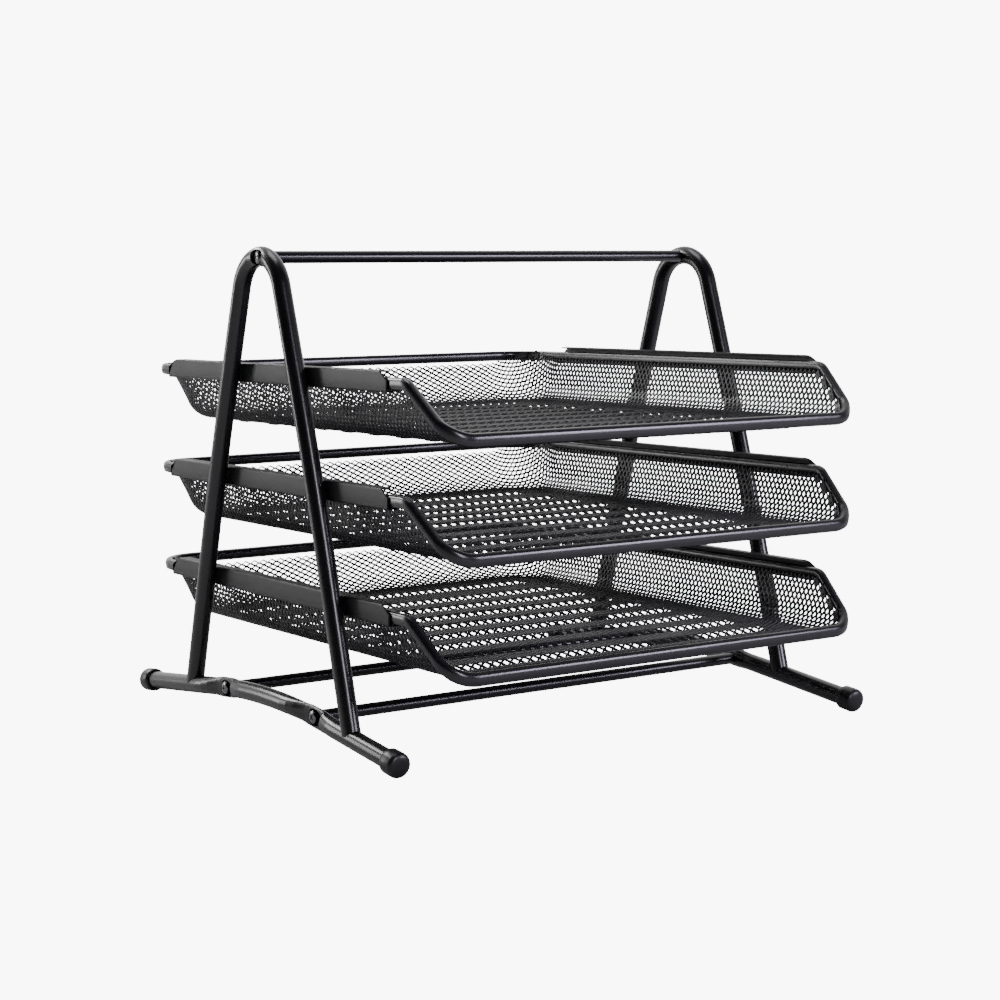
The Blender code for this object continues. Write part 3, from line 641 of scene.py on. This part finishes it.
def wall_profile(run, lean):
    """Outward run and height after walking this far past the floor's edge, round the bend and up the wall."""
    turn = math.pi / 2 - lean
    bend = np.clip(run, 0.0, BEND_R * turn) / BEND_R
    rest = np.maximum(run - BEND_R * turn, 0.0)
    out = BEND_R * np.sin(bend) + rest * np.sin(lean)
    up = BEND_R * (1 - np.cos(bend)) + rest * np.cos(lean)
    return out, up


def formed(u, v):
    """Where a point (u, v) of the flat sheet lands on the basket; heights are from the runner's middle."""
    u, v = np.asarray(u, float), np.asarray(v, float)
    past_u = np.maximum(np.abs(u) - CORNER_X, 0.0)
    past_v = np.maximum(v - CORNER_Y, 0.0)
    far = np.hypot(past_u, past_v)
    angle = np.arctan2(past_v, past_u)
    lean = LEAN_SIDE + (LEAN_BACK - LEAN_SIDE) * np.clip(angle / (math.pi / 2), 0.0, 1.0)
    bulge = np.sin(2 * angle)
    lean += LEAN_CORNER * np.where(angle < math.pi / 4, bulge * bulge, bulge)  # keeps clear of the runner
    out, up = wall_profile(np.maximum(far - FLOOR_R, 0.0), lean)
    radius = np.minimum(far, FLOOR_R) + out
    safe = np.maximum(far, 1e-9)
    x = np.sign(u) * (np.minimum(np.abs(u), CORNER_X) + radius * past_u / safe)
    y = np.minimum(v, CORNER_Y) + radius * past_v / safe
    z = FLOOR_Z + up - groove_depth(x, y) * (far < FLOOR_R)
    return np.stack([x, y, z], axis=-1)


def surface_normal(u, v):
    """Unit normal of the formed sheet, pointing into the tray."""
    a = formed(u + NORMAL_STEP, v) - formed(u - NORMAL_STEP, v)
    b = formed(u, v + NORMAL_STEP) - formed(u, v - NORMAL_STEP)
    normal = np.cross(a, b)
    return normal / np.linalg.norm(normal, axis=-1)[..., None]


def under_rim(p):
    """How far a point lies below the rim's line: down from the level part, or behind the front slope."""
    run, drop = RIM_BEND_Y - RAIL_Y, RIM_Z - RAIL_Z
    length = math.hypot(run, drop)
    slope = ((p[..., 1] - RAIL_Y) * drop - (p[..., 2] - RAIL_Z) * run) / length
    return np.minimum(WALL_TOP_Z - p[..., 2], slope)


def lattice(part):
    """Centres in the flat sheet of this part's diamonds, and how far each one lands below the rim."""
    span_u = CORNER_X + SHEET_SPARE
    rows = int((CORNER_Y + SHEET_SPARE - RAIL_Y) / (SHORT_WAY / 2))
    centres = []
    for row in range(rows):
        v = RAIL_Y + row * SHORT_WAY / 2
        start = (row % 2) * LONG_WAY / 2
        count = int(span_u / LONG_WAY) + 1
        u = start + LONG_WAY * np.arange(-count, count)
        centres.append(np.stack([u, np.full_like(u, v)], axis=1))
    centres = np.concatenate(centres)
    place = formed(centres[:, 0], centres[:, 1])
    margin = under_rim(place)
    keep = (margin > RIM_CLEARANCE) & (place[:, 1] > RAIL_Y + RAIL_CLEARANCE)
    past_u = np.maximum(np.abs(centres[:, 0]) - CORNER_X, 0)
    past_v = np.maximum(centres[:, 1] - CORNER_Y, 0)
    on_floor = np.hypot(past_u, past_v) < FLOOR_R + FLOOR_PART_SPARE
    keep &= on_floor if part == "floor" else ~on_floor
    return centres[keep], margin[keep]


def expanded_metal(part):
    """Points and quads of the diamond mesh over one part of the basket, with holes right through."""
    centres, margin = lattice(part)
    half_u, half_v = LONG_WAY / 2, SHORT_WAY / 2
    corner = np.array([(half_u, 0.0), (0.0, half_v), (-half_u, 0.0), (0.0, -half_v)])
    edge = math.hypot(LONG_WAY, SHORT_WAY) / 2
    open_share = 1 - STRAND_W / (LONG_WAY * SHORT_WAY / 2 / edge)
    share = np.where(margin < HEM_H, HEM_OPEN, open_share)
    outer = centres[:, None] + corner[None]
    inner = centres[:, None] + corner[None] * share[:, None, None]
    keys = np.round(outer.reshape(-1, 2) / MERGE_STEP).astype(np.int64)
    unique, index = np.unique(keys, axis=0, return_inverse=True)
    index = index.reshape(-1, 4)
    flat = np.concatenate([unique * MERGE_STEP, inner.reshape(-1, 2)])
    inner_index = len(unique) + np.arange(len(centres) * 4).reshape(-1, 4)
    normal = surface_normal(flat[:, 0], flat[:, 1])
    top = formed(flat[:, 0], flat[:, 1] + STRAND_TWIST / 2) + normal * STRAND_T / 2
    bottom = formed(flat[:, 0], flat[:, 1] - STRAND_TWIST / 2) - normal * STRAND_T / 2
    total = len(flat)
    faces = []
    for k in range(4):
        n = (k + 1) % 4
        o0, o1 = index[:, k], index[:, n]
        i0, i1 = inner_index[:, k], inner_index[:, n]
        faces.append(np.stack([o0, o1, i1, i0], axis=1))
        faces.append(np.stack([o1, o0, i0, i1], axis=1) + total)
        faces.append(np.stack([i0, i1, i1 + total, i0 + total], axis=1))
    ends = np.concatenate([np.stack([index[:, k], index[:, (k + 1) % 4]], axis=1) for k in range(4)])
    ordered = np.sort(ends, axis=1)
    _, first, count = np.unique(ordered, axis=0, return_index=True, return_counts=True)
    border = ends[first[count == 1]]
    faces.append(np.stack([border[:, 1], border[:, 0], border[:, 0] + total, border[:, 1] + total], axis=1))
    return np.concatenate([top, bottom]), np.concatenate(faces)


def tray_basket(level, z, parts):
    """The floor's mesh and the walls' mesh, which together stand for the basket."""
    for part, (points, faces) in parts.items():
        made = mesh_object(f"{level}_tray_{part}_mesh", points + (0.0, 0.0, z), faces, MESH_COAT, smooth=0)
        assign(made, f"{level}_tray", f"{level}_tray_mesh")


for side, label in ((-1, "left"), (1, "right")):
    end_frame(side, label)
    for direction, end in ((-1, "front"), (1, "back")):
        foot_cap(side, direction, f"{label}_{end}")
    for place, (y, z, turn, lift) in SCREWS.items():
        screw(f"{label}_{place}_screw", side, y, z, turn, lift)
    for level, z in LEVELS.items():
        runner(side, z, f"{label}_{level}_runner")

bar("handle_bar", 0.0, HANDLE_Z)
bar("front_bar", -BAR_FOOT_Y, BAR_FOOT_Z)
bar("back_bar", BAR_FOOT_Y, BAR_FOOT_Z)

basket = {part: expanded_metal(part) for part in ("floor", "walls")}
for level, z in LEVELS.items():
    tray_rim(level, z)
    tray_basket(level, z, basket)


# --------------------------------------------------------------------- stage

def seen_white(tree, plain, glow):
    """Mixes a plain shader with a bright one that only the camera sees, and returns the result's socket."""
    path = tree.nodes.new("ShaderNodeLightPath")
    mix = tree.nodes.new("ShaderNodeMixShader")
    tree.links.new(path.outputs["Is Camera Ray"], mix.inputs["Fac"])
    tree.links.new(plain, mix.inputs[1])
    tree.links.new(glow, mix.inputs[2])
    return mix.outputs["Shader"]


def stage_plane():
    """A white floor just under the object."""
    mesh = bpy.data.meshes.new("studio_floor")
    corners = [(u * STAGE_HALF, v * STAGE_HALF, -STAGE_DROP) for u, v in ((-1, -1), (1, -1), (1, 1), (-1, 1))]
    mesh.from_pydata(corners, [], [(0, 1, 2, 3)])
    floor = bpy.data.objects.new("studio_floor", mesh)
    bpy.context.scene.collection.objects.link(floor)
    made = bpy.data.materials.new("studio_white")
    made.use_nodes = True
    tree = made.node_tree
    shader = tree.nodes["Principled BSDF"]
    shader.inputs["Base Color"].default_value = (STAGE_GREY, STAGE_GREY, STAGE_GREY, 1.0)
    shader.inputs["Roughness"].default_value = STAGE_ROUGHNESS
    glow = tree.nodes.new("ShaderNodeEmission")
    glow.inputs["Strength"].default_value = BACKDROP_GLOW
    seen = seen_white(tree, shader.outputs["BSDF"], glow.outputs["Emission"])
    tree.links.new(seen, tree.nodes["Material Output"].inputs["Surface"])
    mesh.materials.append(made)


def area_light(name, place, aim_z, size, power, colour):
    """A rectangular lamp aimed at a height on the object's middle line."""
    data = bpy.data.lights.new(name, "AREA")
    data.shape = "RECTANGLE"
    data.size, data.size_y = size
    data.energy = power
    data.color = colour
    light = bpy.data.objects.new(name, data)
    light.location = place
    light.rotation_euler = (Vector((0.0, 0.0, aim_z)) - Vector(place)).to_track_quat("-Z", "Y").to_euler()
    light.visible_camera = False
    bpy.context.scene.collection.objects.link(light)


def studio_world():
    """Surroundings that are dim on the front side and bright behind the object, so that edges light up."""
    world = bpy.data.worlds.new("studio")
    world.use_nodes = True
    tree = world.node_tree
    plain = tree.nodes["Background"]
    plain.inputs["Color"].default_value = (*WHITE, 1.0)
    place = tree.nodes.new("ShaderNodeTexCoord")
    facing = tree.nodes.new("ShaderNodeVectorMath")
    facing.operation = "DOT_PRODUCT"
    facing.inputs[1].default_value = WORLD_BRIGHT_WAY
    tree.links.new(place.outputs["Generated"], facing.inputs[0])
    fade = tree.nodes.new("ShaderNodeMapRange")
    fade.inputs["From Min"].default_value, fade.inputs["From Max"].default_value = WORLD_FADE
    fade.inputs["To Min"].default_value, fade.inputs["To Max"].default_value = WORLD_STRENGTH
    tree.links.new(facing.outputs["Value"], fade.inputs["Value"])
    tree.links.new(fade.outputs["Result"], plain.inputs["Strength"])
    glow = tree.nodes.new("ShaderNodeBackground")
    glow.inputs["Color"].default_value = (*WHITE, 1.0)
    glow.inputs["Strength"].default_value = BACKDROP_GLOW
    seen = seen_white(tree, plain.outputs["Background"], glow.outputs["Background"])
    tree.links.new(seen, tree.nodes["World Output"].inputs["Surface"])
    bpy.context.scene.world = world


def camera():
    """The view from the front left, a little above the trays."""
    yaw, pitch, roll = math.radians(CAMERA_YAW), math.radians(CAMERA_PITCH), math.radians(CAMERA_ROLL)
    look = Vector((math.sin(yaw) * math.cos(pitch), math.cos(yaw) * math.cos(pitch), math.sin(pitch)))
    right = Vector((math.cos(yaw), -math.sin(yaw), 0.0))
    up = right.cross(look)
    rolled_right = right * math.cos(roll) + up * math.sin(roll)
    rolled_up = up * math.cos(roll) - right * math.sin(roll)
    axes = Matrix((rolled_right, rolled_up, -look)).transposed()
    data = bpy.data.cameras.new("camera")
    data.sensor_width = CAMERA_SENSOR
    data.lens = CAMERA_LENS
    data.shift_x, data.shift_y = CAMERA_SHIFT
    data.clip_start, data.clip_end = CAMERA_CLIP
    eye = (Vector(CAMERA_EYE) + Vector((0.0, SHIFT_Y, 0.0))) * MM
    made = bpy.data.objects.new("camera", data)
    made.matrix_world = Matrix.Translation(eye) @ axes.to_4x4()
    bpy.context.scene.collection.objects.link(made)
    bpy.context.scene.camera = made


stage_plane()
studio_world()
for name, settings in LIGHTS.items():
    area_light(name, *settings)
camera()
